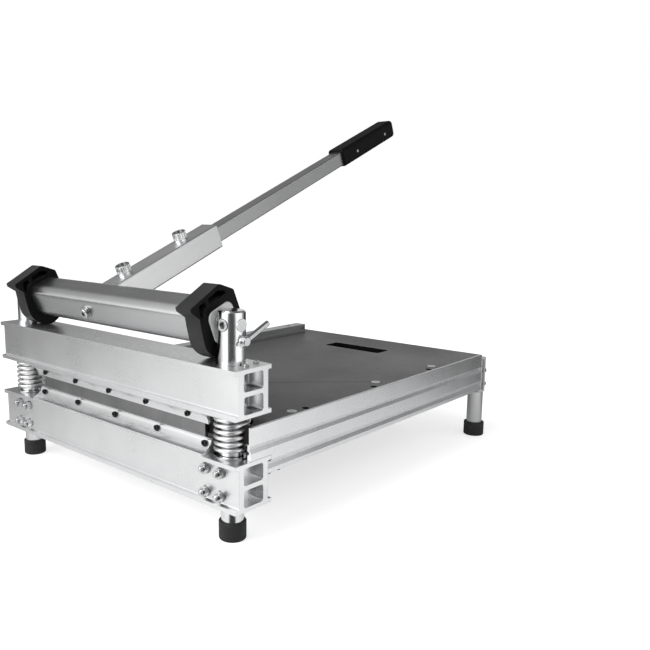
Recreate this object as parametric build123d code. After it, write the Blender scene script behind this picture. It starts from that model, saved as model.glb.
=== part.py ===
from build123d import *
import os
from math import cos, sin, radians

# Bench cutter for thin floor planks. A hand lever turns a tube with a cam at each end. The
# cams press an upper beam down two sprung posts, and its blade shears past a fixed blade at
# the front edge of a table. All sizes are in millimetres. While a piece is being made, X runs
# along the beams, +Y points to the back of the table, Z is up from the floor, and the
# beams' middle plane is Y = 0. The last step moves everything to the stated origin.

# ---- Driving dimensions: beams -------------------------------------------------------------
beam_length = 450.0
beam_height = 50.0
beam_flange_width = 52.0
beam_flange_thickness = 4.5
beam_web_spread = 42.0
beam_web_thickness = 7.0
beam_middle_web = 5.0
beam_pocket_radius = 3.0
beam_lip_fillet = 1.5
beam_gap = 45.0
floor_clearance = 40.0

# ---- Posts, legs and feet ------------------------------------------------------------------
post_inset = 30.0
post_diameter = 28.0
post_rise = 14.0
post_chamfer = 1.5
leg_diameter = 24.0
foot_diameter = 29.0
foot_height = 20.0
foot_floor = 4.0
foot_edge = 2.0
bush_wall = 3.0
running_clearance = 0.05

# ---- Springs -------------------------------------------------------------------------------
spring_wire = 4.0
spring_clearance = 1.2
spring_turns = 6
seat_thickness = 1.5

# ---- Studs that hold the posts' clamp blocks -----------------------------------------------
stud_diameter = 6.0
stud_column_gap = 21.5
stud_row_gap = 24.5
stud_tip = 4.0
stud_bite = 1.8
nut_across = 10.0
nut_height = 5.0
nut_washer = 1.0
nut_washer_diameter = 12.0
block_margin = 7.0
right_stud_inset = 6.0
left_stud_inset = 17.0

# ---- Table and its frame -------------------------------------------------------------------
table_inset = 73.0
table_rise = 34.5
table_reach = 468.0
board_thickness = 17.5
rail_height = 53.0
rail_wall = 5.0
rail_lip = 3.0
rail_ledge = 24.0
rail_ledge_thickness = 4.0
rail_grooves = ((4.5, 8.5, 13.5, 2.4), (26.5, 30.5, 34.5, 2.2))
rail_boss_radius = 4.5
rail_boss_heights = (6.0, 26.5)
rail_fit = 0.2
rear_rail_thickness = 14.0
rear_rail_height = 52.5
rear_rail_drop = 4.5
rear_rail_wall = 3.0
rear_screw_head_height = 6.0
rear_leg_inset = 11.0
rear_leg_diameter = 22.0
bracket_thickness = 4.0
bracket_arm = 38.0
bracket_inset = 7.0
bracket_length = 34.0
bracket_low = 48.0
bracket_web_z = 57.0

# ---- Table board details -------------------------------------------------------------------
spring_notch_radius = 21.5
slot_length = 98.0
slot_width = 30.0
slot_corner = 4.0
slot_inset = 167.5
slot_to_back = 81.0
line_width = 1.0
line_depth = 0.6
line_start_inset = 146.0
line_end_inset = 22.0
line_offset = 40.0
board_screw_rows = ((71.8, 11.5), (244.0, 20.0), (373.7, 15.5))
board_screw_head = 11.0
board_screw_head_height = 2.5
board_screw_shank = 4.0
pilot_hole_diameter = 8.0
pilot_hole_depth = 8.0
pilot_hole_inset = 8.0
pilot_hole_rows = (90.8, 221.8, 352.4)

# ---- Fence ---------------------------------------------------------------------------------
fence_width = 20.0
fence_height = 14.0
fence_inset = 41.5
fence_front = 34.0
fence_back_gap = 24.0
fence_groove_width = 5.0
fence_groove_depth = 4.0
fence_cap_thickness = 4.0
fence_screw_diameter = 4.0
fence_screw_head = 7.0
fence_screw_head_height = 4.0
fence_screw_inset = 30.0

# ---- Blades and their holders --------------------------------------------------------------
holder_height = 14.5
holder_land = 2.5
holder_nose = 2.0
holder_toe = 1.5
holder_front_inset = 2.0
upper_holder_height = 14.0
upper_holder_depth = 12.0
lower_holder_depth = 16.0
blade_thickness = 4.0
blade_bevel = 2.0
blade_edge_drop = 1.0
lower_blade_end_gap = 12.0
shear_clearance = 0.2
lower_blade_seat = 2.0
support_bar_width = 20.0
backing_depth = 8.0
backing_height = 9.8
side_clearance = 0.5
blade_screw_count = 5
blade_screw_head = 6.0
blade_screw_head_height = 3.0
blade_screw_diameter = 3.0
blade_screw_bite = 6.0
blade_screw_pocket = 4.5
lower_screw_margins = (12.0, 7.3)
lower_screw_height = 9.5
upper_screw_margins = (23.0, 28.3)
upper_screw_drop = 7.5

# ---- Lever tube, cams and pivots -----------------------------------------------------------
pivot_rise = 40.0
lever_angle = 22.3
lever_swing = 59.0
beam_rise = 10.5
contact_gap = 0.3
tube_width = 42.5
tube_shift_along = 4.7
tube_shift_across = -3.2
tube_corner = 12.0
tube_wall = 3.0
plug_length = 16.0
plug_proud = 0.7
plug_rounding = 1.5
pin_diameter = 13.0
pin_proud = 0.4
spacer_wall = 1.5
spacer_length = 2.0
spacer_gap = 0.3
set_screw_diameter = 12.5
set_screw_socket = 8.0
set_screw_socket_depth = 4.0
set_screw_mouth = 13.7
set_screw_mouth_depth = 2.5
cam_width = 22.0
cam_rim = 3.0
cam_rim_gap = 0.3
cam_belly = ((-26.9, -7.5), (-25.2, 5.5), (-23.2, 15.5))
cam_lip_reach = 30.6
cam_lip_low = 25.9
cam_lip_high = 30.4
cam_top = ((14.0, 36.2), (30.5, 22.0))
cam_back = (31.4, -11.0)
cam_heel = (15.5, -35.0)
cam_flank_steps = 8
cam_over_pocket = ((-5.5, 22.4), (17.9, 22.2), (20.3, 24.2), (16.9, 27.6), (8.8, 30.8), (-5.5, 29.0))
cam_corner_pocket = ((-8.9, 22.0), (-9.4, 28.9), (-19.4, 27.8), (-21.2, 19.1), (-20.4, 13.4), (-14.6, 19.0))
cam_pocket_depth = 12.0

# ---- Lever, handle and knobs ---------------------------------------------------------------
lever_x = -35.0
channel_width = 30.7
channel_height = 32.8
channel_wall = 3.0
channel_corner = 2.5
channel_length = 181.8
channel_cope = 4.0
boss_diameter = 17.0
boss_height = 3.5
socket_length = 12.0
sleeve_length = 30.0
sleeve_gap = 0.3
slider_length = 22.0
slider_gap = 0.2
slider_slot = 10.0
handle_width = 21.5
handle_wall = 2.0
handle_corner = 2.0
handle_start_gap = 1.0
handle_end = 655.0
grip_start = 516.0
grip_end = 671.5
grip_width = 31.7
grip_height = 28.7
grip_lift = 1.2
grip_corner = 6.0
grip_nose = 9.0
rivet_diameter = 5.0
rivet_proud = 0.6
rivet_places = (553.8, 639.8)
knob_places = (53.1, 153.4)
knob_diameter = 18.8
knob_height = 9.0
knob_flutes = 20
knob_flute_radius = 1.0
knob_socket = 13.0
knob_socket_depth = 2.0
knob_shank = 7.0
knob_gap = 0.3
lever_bolt_diameter = 8.0
lever_bolt_head = 13.0
lever_bolt_head_height = 4.5
lever_washer_diameter = 17.0
lever_washer_thickness = 1.5
lever_bolt_socket = 6.0
lever_bolt_socket_depth = 3.0

# ---- Lock screw on the right post ----------------------------------------------------------
lock_drop = 15.5
lock_screw_diameter = 8.0
lock_hub_diameter = 10.0
lock_hub_length = 7.4
lock_depth = 9.0
lock_bar_diameter = 6.0
lock_bar_out = 36.0
lock_bar_back = 8.0
lock_bar_angle = 23.5

# ---- Small screws --------------------------------------------------------------------------
bush_screw_diameter = 4.0
bush_screw_head = 6.0
bush_screw_head_height = 2.0
bush_screw_length = 3.5
bush_screw_socket = 3.0
bush_screw_socket_depth = 1.2
bush_screw_places = ((19.5, 0.0), (15.5, 19.0))
frame_screw_diameter = 4.0
frame_screw_head = 9.0
frame_screw_head_height = 4.0
frame_screw_bite = 12.0
screw_clearance = 0.1

# ---- Places worked out from the sizes above ------------------------------------------------
lower_bottom = floor_clearance
lower_top = lower_bottom + beam_height
upper_bottom = lower_top + beam_gap
upper_top = upper_bottom + beam_height
pivot_z = upper_top + pivot_rise
post_x = beam_length / 2 - post_inset
post_radius = post_diameter / 2
right_stud_middle = post_x - right_stud_inset
left_stud_middle = left_stud_inset - post_x
spring_outer = post_radius + spring_clearance + spring_wire
flange_half = beam_flange_width / 2
web_half = beam_web_spread / 2
pocket_width = beam_web_spread - 2 * beam_web_thickness
pocket_height = (beam_height - 2 * beam_flange_thickness - beam_middle_web) / 2
table_top = lower_top + table_rise
board_bottom = table_top - board_thickness
rail_bottom = table_top - rail_height
right_face = beam_length / 2
left_face = table_inset - right_face
rail_back = flange_half + table_reach
rear_back = rail_back + rear_rail_thickness
rear_leg_y = rail_back + rear_rail_thickness / 2
rear_rail_bottom = rail_bottom - rear_rail_drop
cut_left = left_face
cut_right = post_x - spring_outer - side_clearance
holder_front = -flange_half + holder_front_inset
blade_front = holder_front + upper_holder_depth
fixed_blade_front = holder_front + lower_holder_depth
fixed_blade_back = fixed_blade_front + blade_thickness
moving_blade_back = fixed_blade_front - shear_clearance
holder_bottom = upper_bottom - upper_holder_height
tube_half = tube_width / 2
plate_outer = post_x - post_radius - spacer_length - spacer_gap
cam_outer = plate_outer - plug_proud
tube_end = cam_outer - cam_rim
tube_front = tube_shift_along - tube_half
cam_inner = cam_outer - cam_width
lever_offset = tube_shift_across
channel_start = tube_shift_along + tube_half
channel_end = channel_start + channel_length
channel_top = lever_offset + channel_height / 2
channel_inner_width = channel_width - 2 * channel_wall
channel_inner_height = channel_height - 2 * channel_wall
handle_start = channel_start + socket_length + handle_start_gap
lock_z = pivot_z - lock_drop
slot_middle_x = right_face - slot_inset
line_start_x = left_face + line_start_inset
line_end_x = right_face - line_end_inset

# Axes at the pivot: "along" points down the lever, "across" stands up from it. The tube and the lever
# are a little behind and below the pivot in these axes.
tube_frame = Plane(
    origin=(0, 0, pivot_z),
    x_dir=(0, cos(radians(lever_angle)), sin(radians(lever_angle))),
    z_dir=(1, 0, 0),
)
lever_frame = tube_frame.offset(lever_x)


# ---- Plain shapes --------------------------------------------------------------------------
def block(x0, x1, y0, y1, z0, z1):
    middle = ((x0 + x1) / 2, (y0 + y1) / 2, (z0 + z1) / 2)
    return Pos(*middle) * Box(x1 - x0, y1 - y0, z1 - z0)


def rod_x(diameter, x0, x1, y, z):
    return Pos((x0 + x1) / 2, y, z) * Rot(0, 90, 0) * Cylinder(diameter / 2, abs(x1 - x0))


def rod_y(diameter, y0, y1, x, z):
    return Pos(x, (y0 + y1) / 2, z) * Rot(90, 0, 0) * Cylinder(diameter / 2, abs(y1 - y0))


def rod_z(diameter, z0, z1, x, y):
    return Pos(x, y, (z0 + z1) / 2) * Cylinder(diameter / 2, abs(z1 - z0))


def along_x(section, x0, x1):
    """A section drawn in (Y, Z), pulled from x0 to x1."""
    return extrude(Plane.YZ.offset(x0) * section, amount=x1 - x0)


def clear(diameter):
    """The hole that a screw or stud of this diameter passes through."""
    return diameter + 2 * screw_clearance


def polygon(*points):
    return make_face(Polyline(*points, close=True))


def group(pieces):
    return Compound(children=list(pieces))


def in_lever(x0, x1, y0, y1, half_width):
    """A box in the lever's axes, centred on the lever's width."""
    return lever_frame * block(x0, x1, y0, y1, -half_width, half_width)


def lever_bar(width, height, corner, start, end, lift=0.0):
    """A bar along the lever with rounded long edges, on or above the lever's centre line."""
    section = Plane.YZ.offset(start) * RectangleRounded(height, width, corner)
    return lever_frame * (Pos(0, lever_offset + lift, 0) * extrude(section, amount=end - start))


# ---- Beams ---------------------------------------------------------------------------------
def beam_section():
    """Two flanges on two webs, with a middle web between two hollow pockets."""
    section = Rectangle(beam_web_spread, beam_height)
    flange_shift = (beam_height - beam_flange_thickness) / 2
    for side in (-1, 1):
        section += Pos(0, side * flange_shift) * Rectangle(beam_flange_width, beam_flange_thickness)
    inner = [v for v in section.vertices() if abs(abs(v.X) - web_half) < 0.01]
    section = fillet(inner, beam_lip_fillet)
    pocket_shift = (beam_middle_web + pocket_height) / 2
    for side in (-1, 1):
        section -= Pos(0, side * pocket_shift) * RectangleRounded(
            pocket_width, pocket_height, beam_pocket_radius)
    return section


def beam(bottom, hole_diameter):
    """One beam with a hole at each end for a post or its bush."""
    placed = Pos(0, bottom + beam_height / 2) * beam_section()
    body = along_x(placed, -beam_length / 2, beam_length / 2)
    for x in (-post_x, post_x):
        body -= rod_z(hole_diameter, bottom - 1, bottom + beam_height + 1, x, 0)
    return body


def stud_places():
    middle_z = lower_bottom + beam_height / 2
    for middle_x in (left_stud_middle, right_stud_middle):
        for column in (-1, 1):
            for row in (-1, 1):
                yield middle_x + column * stud_column_gap / 2, middle_z + row * stud_row_gap / 2


def rail_face(side):
    """X of a side rail's outer face."""
    return right_face if side > 0 else left_face


def bracket_web_holes(side):
    """X places of the two screws that fix a bracket to the lower beam."""
    start = rail_face(side) - side * bracket_inset
    return [start - side * bracket_length * share for share in (0.25, 0.75)]


def lower_beam():
    body = beam(lower_bottom, leg_diameter + 2 * running_clearance)
    for x, z in stud_places():
        body -= rod_y(clear(stud_diameter), -web_half - 1, -web_half + beam_web_thickness + 1, x, z)
    for side in (-1, 1):
        for x in bracket_web_holes(side):
            body -= rod_y(clear(frame_screw_diameter), web_half - beam_web_thickness - 1,
                          web_half + 1, x, bracket_web_z)
    return body


def clamp_blocks():
    """Blocks in the lower beam's pockets that grip the posts and take the studs."""
    pieces = []
    middle_z = lower_bottom + beam_height / 2
    pocket_shift = (beam_middle_web + pocket_height) / 2
    for post, middle in ((-post_x, left_stud_middle), (post_x, right_stud_middle)):
        stud_left = middle - stud_column_gap / 2 - stud_diameter / 2
        stud_right = middle + stud_column_gap / 2 + stud_diameter / 2
        x0 = min(stud_left, post - leg_diameter / 2) - block_margin
        x1 = max(stud_right, post + leg_diameter / 2) + block_margin
        for side in (-1, 1):
            middle_pocket = middle_z + side * pocket_shift
            section = RectangleRounded(pocket_width, pocket_height, beam_pocket_radius)
            piece = along_x(Pos(0, middle_pocket) * section, x0, x1)
            piece -= rod_z(leg_diameter + 2 * running_clearance, middle_pocket - pocket_height,
                           middle_pocket + pocket_height, post, 0)
            for x, z in stud_places():
                if x0 < x < x1 and abs(z - middle_pocket) < pocket_height / 2:
                    piece -= rod_y(stud_diameter, -web_half,
                                   -pocket_width / 2 + stud_bite, x, z)
            pieces.append(piece)
    return group(pieces)


def front_studs():
    front = -web_half - nut_washer - nut_height - stud_tip
    back = -pocket_width / 2 + stud_bite
    pieces = []
    for x, z in stud_places():
        stud = rod_y(stud_diameter, front, back, x, z)
        pieces.append(chamfer(stud.edges().group_by(Axis.Y)[0], stud_diameter / 8))
    return group(pieces)


def front_nuts():
    pieces = []
    for x, z in stud_places():
        nut_front = -web_half - nut_washer - nut_height
        hexagon = extrude(RegularPolygon(nut_across / 2, 6, major_radius=False), amount=nut_height)
        nut = Pos(x, nut_front, z) * Rot(-90, 0, 0) * hexagon
        nut += rod_y(nut_washer_diameter, -web_half - nut_washer, -web_half, x, z)
        nut -= rod_y(stud_diameter, nut_front - 1, -web_half + 1, x, z)
        pieces.append(nut)
    return group(pieces)


# ---- Posts, legs and feet ------------------------------------------------------------------
def guide_post(x):
    """A turned post: thick above the lower beam, thin through it and down to the foot."""
    top = pivot_z + post_rise
    upper = rod_z(post_diameter, lower_top, top, x, 0)
    upper = chamfer(upper.edges().group_by(Axis.Z)[-1], post_chamfer)
    post = upper + rod_z(leg_diameter, foot_floor, lower_top, x, 0)
    post -= rod_x(pin_diameter, x - post_diameter, x + post_diameter, 0, pivot_z)
    post -= rod_y(set_screw_diameter, -post_diameter, 0, x, pivot_z)
    post -= rod_y(set_screw_mouth, -post_diameter, -post_radius + set_screw_mouth_depth, x, pivot_z)
    if x > 0:
        inner = x + post_radius - lock_depth
        hole = lock_screw_diameter + 2 * running_clearance
        post -= rod_x(hole, inner, x + post_diameter, 0, lock_z)
    return post


def foot(x, y, bore):
    """A rubber cup pushed over the end of a leg."""
    cup = rod_z(foot_diameter, 0, foot_height, x, y)
    cup = fillet(cup.edges().group_by(Axis.Z)[0], foot_edge)
    cup = fillet(cup.edges().group_by(Axis.Z)[-1], foot_edge / 2)
    return cup - rod_z(bore, foot_floor, foot_height + 1, x, y)


def rear_leg(x):
    return rod_z(rear_leg_diameter, foot_floor, rear_rail_bottom, x, rear_leg_y)


def rear_leg_x(side):
    return rail_face(side) - side * rear_leg_inset


# ---- Springs -------------------------------------------------------------------------------
def seat(x, bottom):
    ring = rod_z(2 * spring_outer, bottom, bottom + seat_thickness, x, 0)
    hole = post_diameter + 2 * spring_clearance
    return ring - rod_z(hole, bottom - 1, bottom + seat_thickness + 1, x, 0)


def spring(x):
    """Round wire wound between the two seats."""
    start = lower_top + seat_thickness + spring_wire / 2
    height = beam_gap - 2 * seat_thickness - spring_wire
    path = Helix(pitch=height / spring_turns, height=height, radius=spring_outer - spring_wire / 2)
    wire = sweep(Plane(origin=path @ 0, z_dir=path % 0) * Circle(spring_wire / 2), path=path,
                 is_frenet=True)
    return Pos(x, 0, start) * wire


# ---- Blades, holders and bars --------------------------------------------------------------
def holder_section(depth, height):
    """A coved bar: a wide toe at the beam, hollowed up to a narrow nose. Base at the origin."""
    nose = depth - holder_land
    return make_face([
        Line((0, 0), (depth, 0)),
        Line((depth, 0), (depth, height)),
        Line((depth, height), (nose, height)),
        Line((nose, height), (nose, height - holder_nose)),
        ThreePointArc((nose, height - holder_nose),
                      (nose * 0.62, height * 0.38),
                      (0, holder_toe)),
        Line((0, holder_toe), (0, 0)),
    ])


def screw_row(left_margin, right_margin):
    """X places of evenly spaced screws between two margins from the blade's ends."""
    first, last = cut_left + left_margin, cut_right - right_margin
    spacing = (last - first) / (blade_screw_count - 1)
    return [first + spacing * number for number in range(blade_screw_count)]


def lower_blade_holder():
    section = Pos(holder_front, lower_top) * holder_section(lower_holder_depth, holder_height)
    bar = along_x(section, cut_left, cut_right)
    z = lower_top + lower_screw_height
    for x in screw_row(*lower_screw_margins):
        bar -= rod_y(clear(blade_screw_diameter), holder_front, fixed_blade_front + 1, x, z)
        bar -= rod_y(clear(blade_screw_head), holder_front, lower_head_back(), x, z)
    return bar


def lower_head_back():
    return fixed_blade_front - blade_screw_pocket


def lower_blade():
    """The fixed blade: its top edge is level with the table."""
    left = cut_left + rail_wall
    plate = block(left, cut_right - lower_blade_end_gap, fixed_blade_front, fixed_blade_back,
                  lower_top + lower_blade_seat, table_top)
    z = lower_top + lower_screw_height
    for x in screw_row(*lower_screw_margins):
        plate -= rod_y(clear(blade_screw_diameter), fixed_blade_front - 1, fixed_blade_back + 1,
                       x, z)
    return plate


def support_bar():
    """Carries the front edge of the board and backs the fixed blade."""
    left = cut_left + rail_wall
    bar = block(left, cut_right - lower_blade_end_gap, fixed_blade_back,
                fixed_blade_back + support_bar_width, lower_top, board_bottom)
    z = lower_top + lower_screw_height
    for x in screw_row(*lower_screw_margins):
        bar -= rod_y(clear(blade_screw_diameter), fixed_blade_back - 1,
                     fixed_blade_back + blade_screw_bite, x, z)
    return bar


def blade_screw(x, z, head_back, tip):
    """A round-headed screw along Y with a slot for the key."""
    screw = rod_y(blade_screw_diameter, head_back, tip, x, z)
    head = rod_y(blade_screw_head, head_back - blade_screw_head_height, head_back, x, z)
    socket = rod_y(blade_screw_head / 2, head_back - blade_screw_head_height - 1,
                   head_back - blade_screw_head_height / 2, x, z)
    return screw + head - socket


def lower_blade_screws():
    z = lower_top + lower_screw_height
    tip = fixed_blade_back + blade_screw_bite
    row = screw_row(*lower_screw_margins)
    return group(blade_screw(x, z, lower_head_back(), tip) for x in row)


def upper_head_back():
    return blade_front - blade_screw_pocket


def upper_screw_z():
    return upper_bottom - upper_screw_drop


def upper_blade_holder():
    section = mirror(holder_section(upper_holder_depth, upper_holder_height), about=Plane.XZ)
    bar = along_x(Pos(holder_front, upper_bottom) * section, cut_left, cut_right)
    for x in screw_row(*upper_screw_margins):
        bar -= rod_y(clear(blade_screw_diameter), holder_front, blade_front + 1, x,
                     upper_screw_z())
        bar -= rod_y(clear(blade_screw_head), holder_front, upper_head_back(), x, upper_screw_z())
    return bar


def upper_blade():
    """The moving blade, bevelled on its front face down to the cutting edge."""
    edge = holder_bottom - blade_edge_drop
    section = polygon((blade_front, upper_bottom), (moving_blade_back, upper_bottom),
                      (moving_blade_back, edge), (moving_blade_back - 0.5, edge),
                      (blade_front, edge + blade_bevel))
    plate = along_x(section, cut_left, cut_right)
    for x in screw_row(*upper_screw_margins):
        plate -= rod_y(clear(blade_screw_diameter), blade_front - 1, moving_blade_back + 1, x,
                       upper_screw_z())
    return plate


def upper_blade_backing():
    bar = block(cut_left, cut_right, moving_blade_back, moving_blade_back + backing_depth,
                upper_bottom - backing_height, upper_bottom)
    for x in screw_row(*upper_screw_margins):
        bar -= rod_y(clear(blade_screw_diameter), moving_blade_back - 1,
                     moving_blade_back + blade_screw_bite, x, upper_screw_z())
    return bar


def upper_blade_screws():
    tip = moving_blade_back + blade_screw_bite
    row = screw_row(*upper_screw_margins)
    return group(blade_screw(x, upper_screw_z(), upper_head_back(), tip) for x in row)


# ---- Upper beam ----------------------------------------------------------------------------
def bush_outer():
    return post_diameter + 2 * running_clearance + 2 * bush_wall


def bush_screw_spots():
    for side in (-1, 1):
        for dx, dy in bush_screw_places:
            yield side * (post_x + dx), dy


def upper_beam():
    body = beam(upper_bottom, bush_outer())
    for x, y in bush_screw_spots():
        body -= rod_z(clear(bush_screw_diameter), upper_top - bush_screw_length, upper_top + 1,
                      x, y)
    return body


def guide_bush(x):
    bush = rod_z(bush_outer(), upper_bottom, upper_top, x, 0)
    bore = post_diameter + 2 * running_clearance
    return bush - rod_z(bore, upper_bottom - 1, upper_top + 1, x, 0)


def bush_screws():
    pieces = []
    for x, y in bush_screw_spots():
        screw = rod_z(bush_screw_diameter, upper_top - bush_screw_length, upper_top, x, y)
        head = rod_z(bush_screw_head, upper_top, upper_top + bush_screw_head_height, x, y)
        socket = rod_z(bush_screw_socket, upper_top + bush_screw_head_height - bush_screw_socket_depth,
                       upper_top + bush_screw_head_height + 1, x, y)
        head = fillet(head.edges().group_by(Axis.Z)[-1], bush_screw_head_height / 3)
        pieces.append(screw + head - socket)
    return group(pieces)


# ---- Table frame ---------------------------------------------------------------------------
def rail_section():
    """The rail seen along its length: outer face at 0, inward is positive, bottom at 0."""
    ledge_top = rail_height - board_thickness
    section = Pos(rail_wall / 2, ledge_top / 2) * Rectangle(rail_wall, ledge_top)
    section += Pos(rail_lip / 2, rail_height / 2) * Rectangle(rail_lip, rail_height)
    for bottom in (0, ledge_top - rail_ledge_thickness):
        middle = bottom + rail_ledge_thickness / 2
        section += Pos(rail_ledge / 2, middle) * Rectangle(rail_ledge, rail_ledge_thickness)
    for height in rail_boss_heights:
        section += Pos(rail_wall, height) * Circle(rail_boss_radius)
    for height in rail_boss_heights:
        section -= Pos(rail_wall, height) * Circle(clear(frame_screw_diameter) / 2)
    for low, deepest, high, depth in rail_grooves:
        section -= polygon((-0.01, low), (depth, deepest), (-0.01, high))
    return section


def side_rail(side):
    """A rail whose front end is notched over the lower beam's rear flange."""
    face = rail_face(side)
    section = rail_section()
    if side > 0:
        section = mirror(section, about=Plane.YZ)
    start = fixed_blade_back
    placed = Pos(face, 0, rail_bottom) * Rot(90, 0, 0) * extrude(section, amount=-(rail_back - start))
    rail = Pos(0, start, 0) * placed
    inner_0, inner_1 = sorted((face - side * rail_wall, face - side * (rail_ledge + 1)))
    behind_beam = flange_half + rail_fit
    rail -= block(inner_0, inner_1, start - 1, behind_beam, rail_bottom - 1, table_top + 1)
    wide_0, wide_1 = sorted((face + side, face - side * (rail_ledge + 1)))
    rail -= block(wide_0, wide_1, start - 1, behind_beam,
                  lower_top - beam_flange_thickness - beam_lip_fillet - rail_fit,
                  lower_top + rail_fit)
    rail -= block(wide_0, wide_1, start - 1, web_half + rail_fit, rail_bottom - 1,
                  lower_top - rail_fit)
    for x, y in bracket_rail_holes(side):
        rail -= rod_z(clear(frame_screw_diameter), rail_bottom - 1,
                      rail_bottom + rail_ledge_thickness + 1, x, y)
    for y, inset in board_screw_rows:
        x = face - side * inset
        rail -= rod_z(clear(board_screw_shank), board_bottom - rail_ledge_thickness - 1,
                      board_bottom + 1, x, y)
    return rail


def rear_rail():
    """A flat tube across the back, screwed to the ends of the side rails."""
    outside = Pos(0, rear_rail_bottom + rear_rail_height / 2) * Rectangle(
        rear_rail_thickness, rear_rail_height)
    inside = Pos(0, rear_rail_bottom + rear_rail_height / 2) * Rectangle(
        rear_rail_thickness - 2 * rear_rail_wall, rear_rail_height - 2 * rear_rail_wall)
    tube = Pos(0, rear_leg_y, 0) * along_x(outside - inside, left_face, right_face)
    for x, z in rear_screw_places():
        tube -= rod_y(clear(frame_screw_diameter), rail_back - 1, rear_back + 1, x, z)
    return tube


def rear_screw_places():
    for side, face in ((-1, left_face), (1, right_face)):
        for height in rail_boss_heights:
            yield face - side * rail_wall, rail_bottom + height


def rear_rail_screws():
    pieces = []
    for x, z in rear_screw_places():
        screw = rod_y(frame_screw_diameter, rail_back - frame_screw_bite, rear_back, x, z)
        head = rod_y(frame_screw_head, rear_back, rear_back + rear_screw_head_height, x, z)
        head = fillet(head.edges().group_by(Axis.Y)[-1], rear_screw_head_height / 4)
        pieces.append(screw + head)
    return group(pieces)


def bracket_ends(side):
    """X range of a bracket, set in from the rail's outer face."""
    face = rail_face(side)
    near = face - side * bracket_inset
    return sorted((near, near - side * bracket_length))


def bracket_rail_holes(side):
    """Where a bracket is screwed up into the rail's lower ledge."""
    x = rail_face(side) - side * (rail_ledge + bracket_inset) / 2
    return [(x, web_half + bracket_arm * share) for share in (0.45, 0.85)]


def rail_bracket(side):
    """An angle that ties a side rail's lower ledge to the back of the lower beam."""
    ends = bracket_ends(side)
    plate_back = web_half + bracket_thickness
    plate_top = rail_bottom - bracket_thickness
    bracket = block(*ends, web_half, plate_back, bracket_low, rail_bottom)
    bracket += block(*ends, web_half, web_half + bracket_arm, plate_top, rail_bottom)
    for x, y in bracket_rail_holes(side):
        bracket -= rod_z(clear(frame_screw_diameter), plate_top - 1, rail_bottom + 1, x, y)
    for x in bracket_web_holes(side):
        bracket -= rod_y(clear(frame_screw_diameter), web_half - 1, plate_back + 1, x,
                         bracket_web_z)
    return bracket


def bracket_screws():
    pieces = []
    head_width = frame_screw_diameter * 1.6
    plate_back = web_half + bracket_thickness
    plate_top = rail_bottom - bracket_thickness
    for side in (-1, 1):
        for x, y in bracket_rail_holes(side):
            screw = rod_z(frame_screw_diameter, plate_top, rail_bottom + rail_ledge_thickness, x, y)
            pieces.append(screw + rod_z(head_width, plate_top - frame_screw_head_height, plate_top,
                                        x, y))
        for x in bracket_web_holes(side):
            screw = rod_y(frame_screw_diameter, web_half - beam_web_thickness, plate_back, x,
                          bracket_web_z)
            pieces.append(screw + rod_y(head_width, plate_back,
                                        plate_back + frame_screw_head_height, x, bracket_web_z))
    return group(pieces)


# ---- Board and fence -----------------------------------------------------------------------
def board_screw_places():
    for side, face in ((-1, left_face), (1, right_face)):
        for y, inset in board_screw_rows:
            yield face - side * inset, y


def board_screw(x, y, room=0.0):
    """A flat-headed screw, flush with the board, or with room the hole for it."""
    seat_z = table_top - board_screw_head_height
    head = rod_z(board_screw_head + 2 * room, seat_z, table_top + room, x, y)
    low = board_bottom - rail_ledge_thickness
    return head + rod_z(board_screw_shank + 2 * room, low - room, seat_z, x, y)


def table_screws():
    cross = board_screw_shank / 4
    pieces = []
    for x, y in board_screw_places():
        screw = board_screw(x, y)
        for dx, dy in ((board_screw_head / 3, cross / 2), (cross / 2, board_screw_head / 3)):
            screw -= block(x - dx, x + dx, y - dy, y + dy, table_top - cross, table_top + 1)
        pieces.append(screw)
    return group(pieces)


def table_board():
    left = left_face + rail_lip
    right = right_face - rail_lip
    board = block(left, right, fixed_blade_back, rail_back, board_bottom, table_top)
    board -= rod_z(2 * spring_notch_radius, board_bottom - 1, table_top + 1, post_x, 0)
    slot_y = rail_back - slot_to_back
    slot = extrude(RectangleRounded(slot_length, slot_width, slot_corner), amount=2 * board_thickness)
    board -= Pos(slot_middle_x, slot_y, board_bottom - board_thickness / 2) * slot
    board -= scribed_line()
    for x, y in board_screw_places():
        board -= board_screw(x, y, screw_clearance)
    for y in pilot_hole_rows:
        board -= rod_z(pilot_hole_diameter, table_top - pilot_hole_depth, table_top + 1,
                       right_face - pilot_hole_inset, y)
    for y in fence_screw_rows():
        board -= rod_z(clear(fence_screw_diameter), table_top - fence_screw_bite(), table_top + 1,
                       fence_middle_x(), y)
    return board


def scribed_line():
    """A shallow 45 degree guide line across the board."""
    run = line_end_x - line_start_x
    middle_x = (line_start_x + line_end_x) / 2
    length = run / cos(radians(45))
    groove = Box(length, line_width, 2 * line_depth)
    return Pos(middle_x, middle_x + line_offset, table_top) * Rot(0, 0, 45) * groove


def fence_middle_x():
    return left_face + fence_inset + fence_width / 2


def fence_back():
    return rail_back - fence_back_gap


def fence_screw_rows():
    return fence_front + fence_screw_inset, fence_back() - fence_cap_thickness - fence_screw_inset


def fence_screw_bite():
    return board_thickness / 2


def fence_bar():
    x = fence_middle_x()
    half = fence_width / 2
    bar = block(x - half, x + half, fence_front, fence_back() - fence_cap_thickness, table_top,
                table_top + fence_height)
    middle = table_top + fence_height / 2
    bar -= block(x + half - fence_groove_depth, x + half + 1, fence_front - 1, fence_back(),
                 middle - fence_groove_width / 2, middle + fence_groove_width / 2)
    for y in fence_screw_rows():
        bar -= rod_z(clear(fence_screw_diameter), table_top - 1, table_top + fence_height + 1, x, y)
        bar -= rod_z(clear(fence_screw_head), table_top + fence_height - fence_screw_head_height,
                     table_top + fence_height + 1, x, y)
    return bar


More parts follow.
